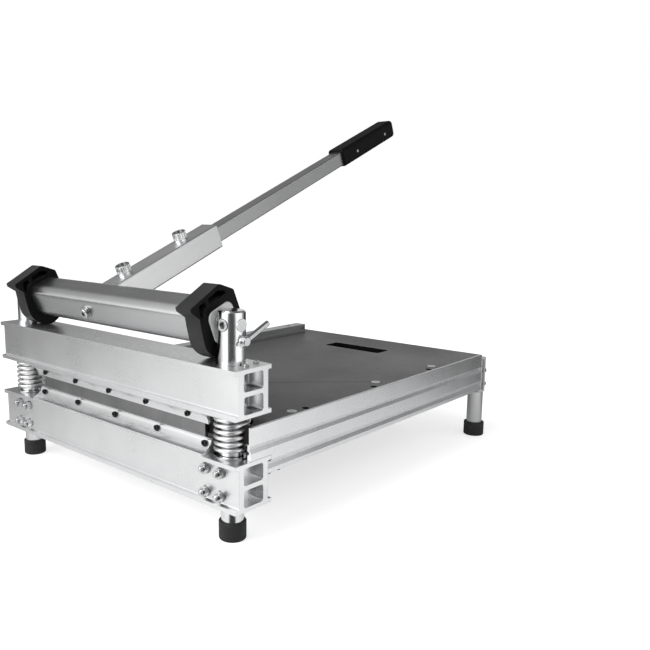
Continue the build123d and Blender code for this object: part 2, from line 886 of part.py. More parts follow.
def fence_end_cap():
    x = fence_middle_x()
    half = fence_width / 2
    cap = block(x - half, x + half, fence_back() - fence_cap_thickness, fence_back(), table_top,
                table_top + fence_height)
    return fillet(cap.edges().group_by(Axis.Y)[-1].filter_by(Axis.Z), fence_cap_thickness / 3)


def fence_screws():
    pieces = []
    for y in fence_screw_rows():
        x = fence_middle_x()
        seat_z = table_top + fence_height - fence_screw_head_height
        screw = rod_z(fence_screw_diameter, table_top - fence_screw_bite(), seat_z, x, y)
        head = rod_z(fence_screw_head, seat_z, table_top + fence_height, x, y)
        socket = extrude(RegularPolygon(fence_screw_head / 4, 6), amount=fence_screw_head_height)
        pieces.append(screw + head - Pos(x, y, seat_z + fence_screw_head_height / 2) * socket)
    return group(pieces)


# ---- Pivots --------------------------------------------------------------------------------
def pivot_pin(side):
    outer = side * (post_x + post_radius + pin_proud)
    inner = side * (tube_end - plug_length)
    pin = rod_x(pin_diameter, *sorted((inner, outer)), 0, pivot_z)
    ends = pin.edges().group_by(Axis.X)
    return chamfer(ends[0] + ends[-1], pin_proud / 3)


def pivot_spacers():
    pieces = []
    for side in (-1, 1):
        ends = sorted((side * (plate_outer + spacer_gap), side * (post_x - post_radius)))
        ring = rod_x(pin_diameter + 2 * spacer_wall, *ends, 0, pivot_z)
        bore = rod_x(pin_diameter, ends[0] - 1, ends[1] + 1, 0, pivot_z)
        ring -= bore
        ring -= rod_z(post_diameter, pivot_z - post_diameter, pivot_z + post_diameter,
                      side * post_x, 0)
        pieces.append(ring)
    return group(pieces)


def post_set_screws():
    """Screws in the fronts of the posts that hold the pivot pins."""
    pieces = []
    for x in (-post_x, post_x):
        front = -post_radius + 0.3
        screw = rod_y(set_screw_diameter, front, -pin_diameter / 2, x, pivot_z)
        socket = extrude(RegularPolygon(set_screw_socket / 2, 6), amount=set_screw_socket_depth)
        screw -= Pos(x, front, pivot_z) * Rot(-90, 0, 0) * socket
        screw -= rod_x(pin_diameter, x - post_diameter, x + post_diameter, 0, pivot_z)
        pieces.append(screw)
    return group(pieces)


# ---- Lever tube and cams -------------------------------------------------------------------
def tube_section(inset):
    """The tube's outline moved inwards, in the axes at the pivot."""
    size = tube_width - 2 * inset
    return Pos(tube_shift_along, tube_shift_across) * RectangleRounded(size, size, tube_corner - inset)


def solid_tube():
    return extrude(tube_frame.offset(-tube_end) * tube_section(0), amount=2 * tube_end)


def cam_tube():
    tube = extrude(tube_frame.offset(-tube_end) * (tube_section(0) - tube_section(tube_wall)),
                   amount=2 * tube_end)
    hole = Rot(0, 90, 0) * Cylinder(lever_bolt_diameter / 2, tube_width + 2)
    return tube - lever_frame * (Pos(tube_shift_along, tube_shift_across, 0) * hole)


def end_plate(side):
    """A plug pressed into an end of the tube, which turns on the pivot pin."""
    start, end = sorted((side * plate_outer, side * (tube_end - plug_length)))
    plug = extrude(tube_frame.offset(start) * tube_section(tube_wall), amount=end - start)
    outer_edges = plug.edges().group_by(Axis.X)[-1 if side > 0 else 0]
    plug = fillet(outer_edges, plug_rounding)
    bore = rod_x(pin_diameter + 2 * running_clearance, side * (tube_end - plug_length - 1),
                 side * (plate_outer + 1), 0, pivot_z)
    return plug - bore


def cam_point(turn):
    """Where the cam meets the flat beam after the lever has risen by turn degrees.

    The beam rises in step with the lever, so the cam's flank is an involute.
    """
    step = beam_rise / radians(lever_swing)
    height = pivot_rise - contact_gap - step * radians(turn)
    down = radians(-90 - lever_angle - turn)
    return (height * cos(down) - step * sin(down), height * sin(down) + step * cos(down))


def cam_section():
    turns = [lever_swing * number / cam_flank_steps for number in range(cam_flank_steps + 1)]
    flank = [cam_point(turn) for turn in turns]
    rim = FilletPolyline(
        flank[-1], *cam_belly, (-cam_lip_reach, cam_lip_low), (-cam_lip_reach, cam_lip_high),
        *cam_top, cam_back, radius=[6.0, 8.0, 2.0, 1.0, 1.0, 6.0, 4.0])
    heel = ThreePointArc(flank[0], cam_heel, cam_back)
    return make_face([Spline(*flank), rim, heel])


def cam_pockets():
    """Moulded hollows in the cam's right-hand face."""
    over, corner = polygon(*cam_over_pocket), polygon(*cam_corner_pocket)
    return fillet(over.vertices(), 1.0) + fillet(corner.vertices(), 1.0)


def cam(side):
    """A moulded cam on an end of the tube; its outer rim covers the tube's end."""
    start = -cam_outer if side < 0 else cam_inner
    body = extrude(tube_frame.offset(start) * (cam_section() - tube_section(0)), amount=cam_width)
    rim = tube_section(0) - tube_section(tube_wall - cam_rim_gap)
    rim_start = -cam_outer if side < 0 else tube_end
    body += extrude(tube_frame.offset(rim_start) * rim, amount=cam_rim)
    pockets = extrude(tube_frame.offset(start + cam_width) * cam_pockets(), amount=-cam_pocket_depth)
    return body - pockets


# ---- Lever ---------------------------------------------------------------------------------
def across_rod(diameter, along, low, high):
    """A rod that stands across the lever."""
    return lever_frame * (Pos(along, (low + high) / 2, 0) * Rot(90, 0, 0)
                          * Cylinder(diameter / 2, high - low))


def lever_channel():
    """The square channel, with a solid socket at its foot that is coped round the back of the tube."""
    outer = lever_bar(channel_width, channel_height, channel_corner, channel_start - channel_cope,
                      channel_end) - solid_tube()
    inner = in_lever(channel_start + socket_length, channel_end + 1,
                     lever_offset - channel_inner_height / 2,
                     lever_offset + channel_inner_height / 2, channel_inner_width / 2)
    channel = outer - inner
    for place in knob_places:
        channel += across_rod(boss_diameter, place, channel_top - channel_wall / 2,
                              channel_top + boss_height)
        channel -= across_rod(knob_shank + 2 * running_clearance, place,
                              channel_top - channel_wall - 1, channel_top + boss_height + 1)
    bolt_hole = Pos(channel_start + socket_length / 2, lever_offset, 0) * Rot(0, 90, 0) * Cylinder(
        lever_bolt_diameter / 2, socket_length + 2)
    return channel - lever_frame * bolt_hole


def lever_bolt():
    """Holds the lever on the tube; its head and washer are on the tube's front."""
    def turned(diameter, start, end):
        return Pos((start + end) / 2, lever_offset, 0) * Rot(0, 90, 0) * Cylinder(
            diameter / 2, end - start)
    washer_front = tube_front - lever_washer_thickness
    head_front = washer_front - lever_bolt_head_height
    head = turned(lever_bolt_head, head_front, washer_front)
    head = chamfer(head.edges().group_by(Axis.X)[0], lever_bolt_head_height / 6)
    socket = extrude(RegularPolygon(lever_bolt_socket / 2, 6), amount=lever_bolt_socket_depth)
    bolt = head + turned(lever_washer_diameter, washer_front, tube_front)
    bolt += turned(lever_bolt_diameter, tube_front, channel_start + socket_length)
    bolt -= Pos(head_front, lever_offset, 0) * Rot(0, 90, 0) * socket
    return lever_frame * bolt


def channel_sleeve():
    """A plastic liner at the channel's mouth that guides the handle."""
    start = channel_end - sleeve_length
    outer = in_lever(start, channel_end, lever_offset - channel_inner_height / 2,
                     lever_offset + channel_inner_height / 2, channel_inner_width / 2)
    hole = handle_width / 2 + sleeve_gap
    return outer - in_lever(start - 1, channel_end + 1, lever_offset - hole, lever_offset + hole, hole)


# ---- Handle --------------------------------------------------------------------------------
def handle_tube():
    outer = lever_bar(handle_width, handle_width, handle_corner, handle_start, handle_end)
    half = handle_width / 2 - handle_wall
    tube = outer - in_lever(handle_start - 1, handle_end + 1, lever_offset - half,
                            lever_offset + half, half)
    return tube - rivet_holes()


def handle_slider():
    """A plastic shoe on the handle's inner end; its top is slotted for the knobs' tips."""
    half_width = channel_inner_width / 2 - slider_gap
    half_height = channel_inner_height / 2 - slider_gap
    end = handle_start + slider_length
    shoe = in_lever(handle_start, end, lever_offset - half_height, lever_offset + half_height,
                    half_width)
    half = handle_width / 2
    shoe -= in_lever(handle_start - 1, end + 1, lever_offset - half, lever_offset + half, half)
    return shoe - in_lever(handle_start - 1, end + 1, lever_offset, lever_offset + half_height + 1,
                           slider_slot / 2)


def rivet_rod(place, diameter, reach):
    return lever_frame * (Pos(place, lever_offset, 0) * Cylinder(diameter / 2, 2 * reach))


def rivet_holes():
    return rivet_rod(rivet_places[0], rivet_diameter, grip_width) + rivet_rod(
        rivet_places[1], rivet_diameter, grip_width)


def grip():
    """A moulded grip, rounded at its far end, on the outer end of the handle tube."""
    body = lever_bar(grip_width, grip_height, grip_corner, grip_start, grip_end, grip_lift)
    direction = Vector(0, cos(radians(lever_angle)), sin(radians(lever_angle)))
    axis = Axis((0, 0, pivot_z), direction)
    body = fillet(body.edges().group_by(axis)[-1], grip_nose * 0.7)
    body = fillet(body.edges().group_by(axis)[0], grip_nose / 4)
    body -= lever_bar(handle_width, handle_width, handle_corner, grip_start - 1, handle_end)
    return body - rivet_holes()


def grip_rivets():
    pieces = []
    for place in rivet_places:
        rivet = rivet_rod(place, rivet_diameter, grip_width / 2 + rivet_proud)
        ends = rivet.edges().group_by(Axis.X)
        pieces.append(fillet(ends[0] + ends[-1], rivet_proud / 2))
    return group(pieces)


# ---- Knobs and lock screw ------------------------------------------------------------------
def clamp_knob(place):
    """A fluted thumb screw through the channel's boss."""
    base = channel_top + boss_height + knob_gap
    top = base + knob_height
    tip = lever_offset + handle_width / 2 + knob_gap
    head = Pos(0, 0, base + knob_height / 2) * Cylinder(knob_diameter / 2, knob_height)
    ends = head.edges().group_by(Axis.Z)
    head = chamfer(ends[0] + ends[-1], knob_flute_radius / 2)
    flute = Pos(knob_diameter / 2 + knob_flute_radius * 0.4, 0, base + knob_height / 2) * Cylinder(
        knob_flute_radius, knob_height + 1)
    for number in range(knob_flutes):
        head -= Rot(0, 0, 360 * number / knob_flutes) * flute
    head -= Pos(0, 0, top - knob_socket_depth / 2) * Cylinder(knob_socket / 2, knob_socket_depth)
    knob = head + Pos(0, 0, (base + tip) / 2) * Cylinder(knob_shank / 2, base - tip)
    return lever_frame * (Pos(place, 0, 0) * Rot(-90, 0, 0) * knob)


def lock_hub_start():
    return post_x + post_radius + knob_gap


def lock_screw():
    """A screw in the right post's side, turned by a bar through its head."""
    start = lock_hub_start()
    inner = post_x + post_radius - lock_depth
    hub = rod_x(lock_hub_diameter, start, start + lock_hub_length, 0, lock_z)
    hub = chamfer(hub.edges().group_by(Axis.X)[-1], lock_hub_diameter / 10)
    screw = hub + rod_x(lock_screw_diameter, inner + 1, start, 0, lock_z)
    return screw - lock_bar_shape()


def lock_bar_shape():
    middle = (lock_bar_out - lock_bar_back) / 2
    bar = Pos(middle, 0, 0) * Rot(0, 90, 0) * Cylinder(
        lock_bar_diameter / 2, lock_bar_out + lock_bar_back)
    place = Plane(origin=(lock_hub_start() + lock_hub_length / 2, 0, lock_z),
                  x_dir=(0, cos(radians(lock_bar_angle)), sin(radians(lock_bar_angle))),
                  z_dir=(1, 0, 0))
    return place * bar


# ---- All pieces ----------------------------------------------------------------------------
def all_pieces():
    pieces = {
        "lower_beam": lower_beam(),
        "clamp_blocks": clamp_blocks(),
        "front_studs": front_studs(),
        "front_nuts": front_nuts(),
        "spring_seats_lower": group(seat(x, lower_top) for x in (-post_x, post_x)),
        "lower_blade_holder": lower_blade_holder(),
        "lower_blade": lower_blade(),
        "lower_blade_screws": lower_blade_screws(),
        "blade_support_bar": support_bar(),
        "rear_rail": rear_rail(),
        "rear_rail_screws": rear_rail_screws(),
        "bracket_screws": bracket_screws(),
        "table_board": table_board(),
        "table_screws": table_screws(),
        "fence_bar": fence_bar(),
        "fence_end_cap": fence_end_cap(),
        "fence_screws": fence_screws(),
        "pivot_spacers": pivot_spacers(),
        "post_set_screws": post_set_screws(),
        "upper_beam": upper_beam(),
        "bush_screws": bush_screws(),
        "spring_seats_upper": group(
            seat(x, upper_bottom - seat_thickness) for x in (-post_x, post_x)),
        "upper_blade_holder": upper_blade_holder(),
        "upper_blade": upper_blade(),
        "upper_blade_backing": upper_blade_backing(),
        "upper_blade_screws": upper_blade_screws(),
        "cam_tube": cam_tube(),
        "lever_channel": lever_channel(),
        "lever_bolt": lever_bolt(),
        "channel_sleeve": channel_sleeve(),
        "handle_tube": handle_tube(),
        "handle_slider": handle_slider(),
        "grip": grip(),
        "grip_rivets": grip_rivets(),
        "clamp_knob_lower": clamp_knob(knob_places[0]),
        "clamp_knob_upper": clamp_knob(knob_places[1]),
        "lock_screw": lock_screw(),
        "lock_bar": lock_bar_shape(),
    }
    for name, side in (("left", -1), ("right", 1)):
        x = side * post_x
        pieces["guide_post_" + name] = guide_post(x)
        pieces["guide_bush_" + name] = guide_bush(x)
        pieces["spring_" + name] = spring(x)
        pieces["foot_front_" + name] = foot(x, 0, leg_diameter)
        pieces["foot_rear_" + name] = foot(rear_leg_x(side), rear_leg_y, rear_leg_diameter)
        pieces["rear_leg_" + name] = rear_leg(rear_leg_x(side))
        pieces["side_rail_" + name] = side_rail(side)
        pieces["rail_bracket_" + name] = rail_bracket(side)
        pieces["pivot_pin_" + name] = pivot_pin(side)
        pieces["end_plate_" + name] = end_plate(side)
        pieces["cam_" + name] = cam(side)
    return pieces


def report_frame(shift):
    """Print where the joints are in the finished frame, in metres."""
    def at(x, y, z):
        return tuple(round((a + b) / 1000, 6) for a, b in zip((x, y, z), shift))
    along = Vector(0, cos(radians(lever_angle)), sin(radians(lever_angle)))
    print("shift", shift)
    print("pivot", at(0, 0, pivot_z))
    print("lever direction", tuple(round(c, 6) for c in (along.X, along.Y, along.Z)))
    for place in knob_places:
        spot = lever_frame.from_local_coords((place, channel_top, 0))
        print("knob", at(spot.X, spot.Y, spot.Z))
    print("lock", at(lock_hub_start(), 0, lock_z))
    print("table top", at(0, 0, table_top), "slot", at(slot_middle_x, rail_back - slot_to_back, table_top))
    print("beam ratio", beam_rise / 1000 / radians(lever_swing), "m per rad")
    print("spring fixed end", round((lower_top + shift[2]) / 1000, 6))


def origin_shift(pieces):
    """The move that puts the origin at the middle of the bottom of the whole assembly."""
    boxes = [piece.bounding_box() for piece in pieces.values()]
    low_x, high_x = min(b.min.X for b in boxes), max(b.max.X for b in boxes)
    low_y, high_y = min(b.min.Y for b in boxes), max(b.max.Y for b in boxes)
    middle = ((low_x + high_x) / 2, (low_y + high_y) / 2, min(b.min.Z for b in boxes))
    return tuple(-round(place, 1) for place in middle)


def main():
    pieces = all_pieces()
    shift = origin_shift(pieces)
    os.makedirs("parts", exist_ok=True)
    for name, piece in pieces.items():
        export_step(Pos(*shift) * piece, os.path.join("parts", name + ".step"))
    print(len(pieces), "pieces")
    report_frame(shift)


main()
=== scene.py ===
"""Looks for a plank cutter: materials, floor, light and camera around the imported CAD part.

Lengths are in metres. Places given to machine() are measured from the beams' middle plane, halfway between
the two posts, on the floor; machine() turns them into the frame's own coordinates.
"""
from math import atan2, cos, radians, sin

import bpy
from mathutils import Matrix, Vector


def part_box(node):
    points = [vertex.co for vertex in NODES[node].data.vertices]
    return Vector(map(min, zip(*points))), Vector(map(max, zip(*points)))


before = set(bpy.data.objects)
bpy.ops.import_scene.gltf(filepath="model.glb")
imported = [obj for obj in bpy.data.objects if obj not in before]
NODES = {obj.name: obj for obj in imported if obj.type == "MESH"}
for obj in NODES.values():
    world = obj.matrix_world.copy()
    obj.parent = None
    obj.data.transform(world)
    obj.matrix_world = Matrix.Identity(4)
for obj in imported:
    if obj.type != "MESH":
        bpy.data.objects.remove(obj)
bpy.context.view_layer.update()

# ---- Places taken from the CAD model -------------------------------------------------------------
LEVER_ANGLE = radians(22.3)


def middle(node):
    low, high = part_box(node)
    return (low + high) / 2


POST_LEFT, POST_RIGHT = middle("guide_post_left"), middle("guide_post_right")
ORIGIN = Vector(((POST_LEFT.x + POST_RIGHT.x) / 2, POST_RIGHT.y, 0))


def machine(x, y, z):
    return ORIGIN + Vector((x, y, z))


# ---- Node helpers --------------------------------------------------------------------------------
class Graph:
    """The nodes of a material or of the world, with short ways to make and join them.

    What is given to a node is a number, a vector, a colour or another node's output.
    """

    def __init__(self, tree):
        self.nodes, self.links = tree.nodes, tree.links

    def give(self, socket, value):
        if isinstance(value, bpy.types.NodeSocket):
            self.links.new(value, socket)
        elif socket.type == "RGBA":
            socket.default_value = (*value, 1)
        else:
            socket.default_value = value

    def add(self, kind, given=None, **settings):
        """A new node. What it is given goes by the name or the number of its inputs."""
        made = self.nodes.new(kind)
        for key, value in settings.items():
            setattr(made, key, value)
        for key, value in (given or {}).items():
            self.give(made.inputs[key], value)
        return made

    def value(self, operation, *given):
        return self.add("ShaderNodeMath", dict(enumerate(given)), operation=operation).outputs["Value"]

    def product(self, first, *others):
        for other in others:
            first = self.value("MULTIPLY", first, other)
        return first

    def vector(self, operation, *given):
        made = self.add("ShaderNodeVectorMath", dict(enumerate(given)), operation=operation)
        return made.outputs["Value" if operation == "DOT_PRODUCT" else "Vector"]

    def part(self, vector, axis):
        """One coordinate of a vector."""
        return self.add("ShaderNodeSeparateXYZ", {"Vector": vector}).outputs[axis]

    def coordinates(self, kind):
        return self.add("ShaderNodeTexCoord").outputs[kind]

    def mapping(self, vector, **given):
        """The vector after a turn, given as its Rotation, or a stretch, given as its Scale."""
        return self.add("ShaderNodeMapping", {"Vector": vector, **given}).outputs["Vector"]

    def spread(self, value, low, high, start=0.3, end=0.7):
        """A value between start and end becomes one between low and high."""
        made = self.add("ShaderNodeMapRange", {"Value": value, "From Min": start, "From Max": end,
                                               "To Min": low, "To Max": high})
        return made.outputs["Result"]

    def ramp(self, value, stops):
        """A grey for each value between 0 and 1, from (position, grey) pairs."""
        made = self.add("ShaderNodeValToRGB", {"Fac": value})
        elements = made.color_ramp.elements
        while len(elements) < len(stops):
            elements.new(0.5)
        for element, (position, grey) in zip(elements, stops):
            element.position = position
            element.color = (grey, grey, grey, 1)
        return made.outputs["Color"]

    def fade(self, value, low, high, greys):
        """A grey that runs evenly through the list as the value goes from low to high."""
        last = len(greys) - 1
        stops = [(number / last, grey) for number, grey in enumerate(greys)]
        return self.ramp(self.spread(value, 0, 1, low, high), stops)

    def mix(self, factor, first, second, blend="MIX"):
        """Two colours mixed."""
        made = self.add("ShaderNodeMix", data_type="RGBA", blend_type=blend)
        for name, kind, value in (("Factor", "VALUE", factor), ("A", "RGBA", first), ("B", "RGBA", second)):
            socket = next(s for s in made.inputs if (s.name, s.type) == (name, kind))
            self.give(socket, value)
        return next(s for s in made.outputs if s.type == "RGBA")

    def rays(self, *kinds):
        """1 where the ray is one of these kinds, such as "Is Camera Ray", and 0 elsewhere."""
        path = self.add("ShaderNodeLightPath")
        found = path.outputs[kinds[0]]
        for kind in kinds[1:]:
            found = self.value("MAXIMUM", found, path.outputs[kind])
        return found

    def choose(self, factor, when_0, when_1):
        """One shader where the factor is 0 and the other where it is 1."""
        return self.add("ShaderNodeMixShader", {"Fac": factor, 1: when_0, 2: when_1}).outputs["Shader"]

    def glow(self, strength, colour=(1, 1, 1)):
        return self.add("ShaderNodeEmission", {"Color": colour, "Strength": strength}).outputs["Emission"]


class Shader(Graph):
    """A node material, built step by step round one Principled shader."""

    def __init__(self, name, base, metallic, roughness, specular=0.5):
        self.mat = bpy.data.materials.new(name)
        self.mat.use_nodes = True
        self.mat.diffuse_color = (*base, 1)
        self.mat.metallic, self.mat.roughness = metallic, roughness
        super().__init__(self.mat.node_tree)
        self.main = self.nodes["Principled BSDF"]
        for key, value in (("Base Color", base), ("Metallic", metallic), ("Roughness", roughness),
                           ("Specular IOR Level", specular)):
            self.give(self.main.inputs[key], value)
        self.normal = None

    def colour(self, socket):
        self.give(self.main.inputs["Base Color"], socket)

    def rough(self, socket):
        self.give(self.main.inputs["Roughness"], socket)

    def noise(self, scale, stretch=(1, 1, 1), turn=0.0, detail=4.0, roughness=0.5, distortion=0.0):
        """Noise in object coordinates, which are turned about X and then stretched."""
        place = self.coordinates("Object")
        if turn:
            place = self.mapping(place, Rotation=(turn, 0, 0))
        made = self.add("ShaderNodeTexNoise", {"Vector": self.mapping(place, Scale=stretch), "Scale": scale,
                                               "Detail": detail, "Roughness": roughness,
                                               "Distortion": distortion})
        return made.outputs["Fac"]

    def faces(self, axis):
        """How far the surface faces along one of the object's axes, from -1 to 1."""
        return self.part(self.coordinates("Normal"), axis)

    def lay(self, normal):
        self.normal = normal
        self.give(self.main.inputs["Normal"], normal)

    def soft_edges(self, radius):
        """Rounded edges in the shading, laid under the bumps."""
        self.lay(self.add("ShaderNodeBevel", {"Radius": radius}, samples=4).outputs["Normal"])

    def bump(self, height, strength, distance):
        """A bump laid over the soft edges, where there are any."""
        made = self.add("ShaderNodeBump", {"Strength": strength, "Distance": distance, "Height": height})
        if self.normal:
            self.give(made.inputs["Normal"], self.normal)
        self.lay(made.outputs["Normal"])

    def paint_crease_shade(self, colour, depth, dark=0.3, shut=0.25, clear=0.85):
        """Painted shade: the colour, darkened in gaps and recesses no wider than the depth, where shade
        falls.

        It goes from dark where the surface is as good as shut in to its full tone where it is clear.
        """
        seen = self.add("ShaderNodeAmbientOcclusion", {"Distance": depth}, samples=6).outputs["AO"]
        return self.mix(1.0, colour, self.spread(seen, dark, 1.0, shut, clear), "MULTIPLY")


def toned(colour, factor):
    """The colour made darker or paler."""
    return tuple(min(1, channel * factor) for channel in colour)


# ---- Materials -----------------------------------------------------------------------------------
def aluminium(name, grain, base=(0.80, 0.81, 0.82), turn=0.0, roughness=0.32, depth=0.035, streak=0.03):
    """Extruded aluminium: faint die lines along the profile, a soft sheen and cloudy handling marks."""
    made = Shader(name, base, metallic=1.0, roughness=roughness)
    made.soft_edges(0.0005)
    lines = made.noise(1.0, grain, turn, detail=3)
    clouds = made.noise(14.0, detail=5, roughness=0.6)
    made.colour(made.mix(made.spread(clouds, 0, 1), toned(base, 0.94), toned(base, 1.03)))
    made.rough(made.product(made.spread(lines, roughness - streak, roughness + streak),
                            made.spread(clouds, 0.93, 1.08)))
    made.bump(lines, strength=depth, distance=0.00012)
    return made.mat


def polished(name, stretch, base=(0.82, 0.83, 0.84), roughness=0.16, recess_shade=None):
    """Turned and polished steel, with fine marks round the piece.

    Where a tone is given, painted shade darkens its recesses down to it.
    """
    made = Shader(name, base, metallic=1.0, roughness=roughness)
    made.soft_edges(0.0004)
    marks = made.noise(1.0, stretch, detail=3)
    smears = made.noise(60.0, detail=4, roughness=0.65)
    smeared = made.mix(made.spread(smears, 0, 1), toned(base, 0.88), base)
    made.colour(made.paint_crease_shade(smeared, depth=0.004, dark=recess_shade) if recess_shade else smeared)
    made.rough(made.product(made.spread(marks, roughness - 0.04, roughness + 0.06),
                            made.spread(smears, 0.8, 1.3)))
    made.bump(marks, strength=0.08, distance=0.00008)
    return made.mat


def zinc():
    """Zinc plate: pale, soft and slightly cloudy, with painted shade in its recesses."""
    dull, bright = (0.82, 0.82, 0.82), (0.92, 0.92, 0.92)
    made = Shader("zinc_plate", (0.88, 0.88, 0.88), metallic=0.45, roughness=0.42)
    made.soft_edges(0.0004)
    clouds = made.noise(90.0, detail=4, roughness=0.6)
    cloudy = made.mix(made.spread(clouds, 0, 1), dull, bright)
    made.colour(made.paint_crease_shade(cloudy, depth=0.002, dark=0.3))
    made.rough(made.spread(clouds, 0.36, 0.48))
    return made.mat


def blade_steel():
    """Ground tool steel: dark, with grinding lines up the blade."""
    dark, pale = (0.20, 0.201, 0.204), (0.29, 0.291, 0.295)
    up_the_blade = (2600, 120, 18)
    made = Shader("blade_steel_ground", (0.235, 0.237, 0.24), metallic=1.0, roughness=0.3)
    made.soft_edges(0.0003)
    lines = made.noise(1.0, up_the_blade, detail=2)
    bloom = made.noise(22.0, detail=4)
    made.colour(made.mix(made.spread(bloom, 0, 1), dark, pale))
    made.rough(made.spread(lines, 0.24, 0.42))
    made.bump(lines, strength=0.12, distance=0.00006)
    return made.mat


def black_oxide():
    """Blackened screws, worn a little paler in patches."""
    black, worn = (0.015, 0.015, 0.016), (0.05, 0.05, 0.052)
    made = Shader("black_oxide_steel", (0.018, 0.018, 0.019), metallic=0.6, roughness=0.38)
    made.soft_edges(0.0003)
    specks = made.noise(700.0, detail=3)
    wear = made.noise(190.0, detail=4)
    made.colour(made.mix(made.spread(wear, 0, 1, start=0.5, end=0.75), black, worn))
    made.rough(made.spread(specks, 0.3, 0.48))
    made.bump(specks, strength=0.08, distance=0.00005)
    return made.mat


def black_plastic():
    """Moulded black nylon, finely grained and mottled round the rim; painted shade blackens its flat ends and
    pockets.
    """
    rim_dark, rim_pale, end_shade_black = (0.036, 0.036, 0.037), (0.058, 0.058, 0.059), (0.006, 0.006, 0.0062)
    made = Shader("black_moulded_plastic", (0.018, 0.018, 0.0185), metallic=0.0, roughness=0.42,
                  specular=0.12)
    made.soft_edges(0.0006)
    grain = made.noise(1500.0, detail=2)
    flow = made.noise(26.0, detail=3)
    # Painted shade: faces along X, the flat ends, go near black.
    flat_end = made.spread(made.value("ABSOLUTE", made.faces("X")), 0, 1, start=0.75, end=0.95)
    rim = made.mix(made.spread(flow, 0, 1), rim_dark, rim_pale)
    tone = made.mix(flat_end, rim, end_shade_black)
    # Painted shade in the pockets and gaps.
    made.colour(made.paint_crease_shade(tone, depth=0.008, dark=0.05, shut=0.35, clear=0.75))
    made.rough(made.spread(flow, 0.36, 0.48))
    made.bump(grain, strength=0.16, distance=0.00005)
    return made.mat


def rubber(name, base, roughness, grain=900.0):
    """Black rubber with a fine matt grain and a little dust in it."""
    made = Shader(name, base, metallic=0.0, roughness=roughness, specular=0.12)
    fine = made.noise(grain, detail=3)
    dust = made.noise(45.0, detail=5, roughness=0.7)
    made.colour(made.mix(made.spread(dust, 0, 1, start=0.45, end=0.8), base, toned(base, 1.9)))
    made.rough(made.spread(fine, roughness - 0.08, roughness + 0.08))
    made.bump(fine, strength=0.2, distance=0.00006)
    return made.mat


def board():
    """Dark laminate: fine mottle, faint drawn-out streaks, darker patches; painted shade blackens its sides
    and holes.
    """
    mottle_dark, mottle_pale = (0.108, 0.108, 0.111), (0.170, 0.170, 0.173)
    patch, side_shade_black = (0.092, 0.092, 0.095), (0.003, 0.003, 0.003)
    drawn_out = (18, 90, 90)
    made = Shader("board_dark_laminate", (0.110, 0.110, 0.113), metallic=0.0, roughness=0.42, specular=0.15)
    made.soft_edges(0.0004)
    mottle = made.noise(210.0, detail=6, roughness=0.7)
    streaks = made.noise(1.0, drawn_out, detail=5, roughness=0.6, distortion=0.6)
    clouds = made.noise(7.0, detail=4, roughness=0.55)
    fine = made.mix(made.spread(mottle, 0, 1), mottle_dark, mottle_pale)
    streaked = made.mix(made.spread(streaks, 0, 0.35), fine, mottle_pale)
    patchy = made.mix(made.spread(clouds, 0, 0.3), streaked, patch)
    # Painted shade: faces that do not face up are painted near black.
    on_top = made.spread(made.faces("Z"), 0, 1, start=0.4, end=0.6)
    faced = made.mix(on_top, side_shade_black, patchy)
    # Painted shade in the slots and screw holes.
    made.colour(made.paint_crease_shade(faced, depth=0.02, dark=0.05, shut=0.35, clear=0.7))
    made.rough(made.spread(clouds, 0.36, 0.5))
    made.bump(mottle, strength=0.10, distance=0.0001)
    return made.mat


# ---- Which node gets which material --------------------------------------------------------------
# Marks are drawn out along an axis, or run round it, by how tightly the noise is packed along X, Y and Z.
ALONG_X = (3, 700, 700)
ALONG_Y = (700, 3, 700)
ALONG_Z = (700, 700, 3)
ROUND_X = (900, 10, 10)
ROUND_Y = (10, 900, 10)
ROUND_Z = (10, 10, 900)
EVEN = (90, 90, 90)

beam_metal = aluminium("aluminium_beams", ALONG_X, base=(0.84, 0.845, 0.85), roughness=0.29, depth=0.018,
                       streak=0.012)
rail_metal = aluminium("aluminium_rails", ALONG_Y, roughness=0.28, depth=0.02, streak=0.012)
fence_metal = aluminium("aluminium_fence", ALONG_Y, base=(0.52, 0.525, 0.53))
leg_metal = aluminium("aluminium_legs", ALONG_Z, base=(0.58, 0.585, 0.59))
channel_metal = aluminium("aluminium_channel", ALONG_Y, base=(0.88, 0.885, 0.89), turn=-LEVER_ANGLE)
# The handle gets a darker copy of the channel's aluminium, as painted shade.
handle_metal = aluminium("aluminium_handle", ALONG_Y, base=(0.60, 0.605, 0.61), turn=-LEVER_ANGLE)
tube_metal = aluminium("aluminium_lever_tube", ALONG_X, base=(0.62, 0.625, 0.63), roughness=0.26, depth=0.004,
                       streak=0.008)
post_steel = polished("polished_posts", ROUND_Z)
# The pins and the small parts get painted shade in their recesses.
pin_steel = polished("polished_pins", ROUND_X, roughness=0.2, recess_shade=0.35)
small_steel = polished("polished_small_parts", ROUND_Y, base=(0.74, 0.745, 0.75), roughness=0.13, recess_shade=0.04)
spring_steel = polished("polished_springs", EVEN, base=(0.92, 0.92, 0.92), roughness=0.30)
zinc_plate = zinc()
blade_metal = blade_steel()
black_metal = black_oxide()
plastic = black_plastic()
foot_rubber = rubber("black_rubber_feet", (0.042, 0.042, 0.043), roughness=0.62)
grip_rubber = rubber("black_grip_rubber", (0.004, 0.004, 0.0045), roughness=0.42, grain=1200.0)
board_laminate = board()

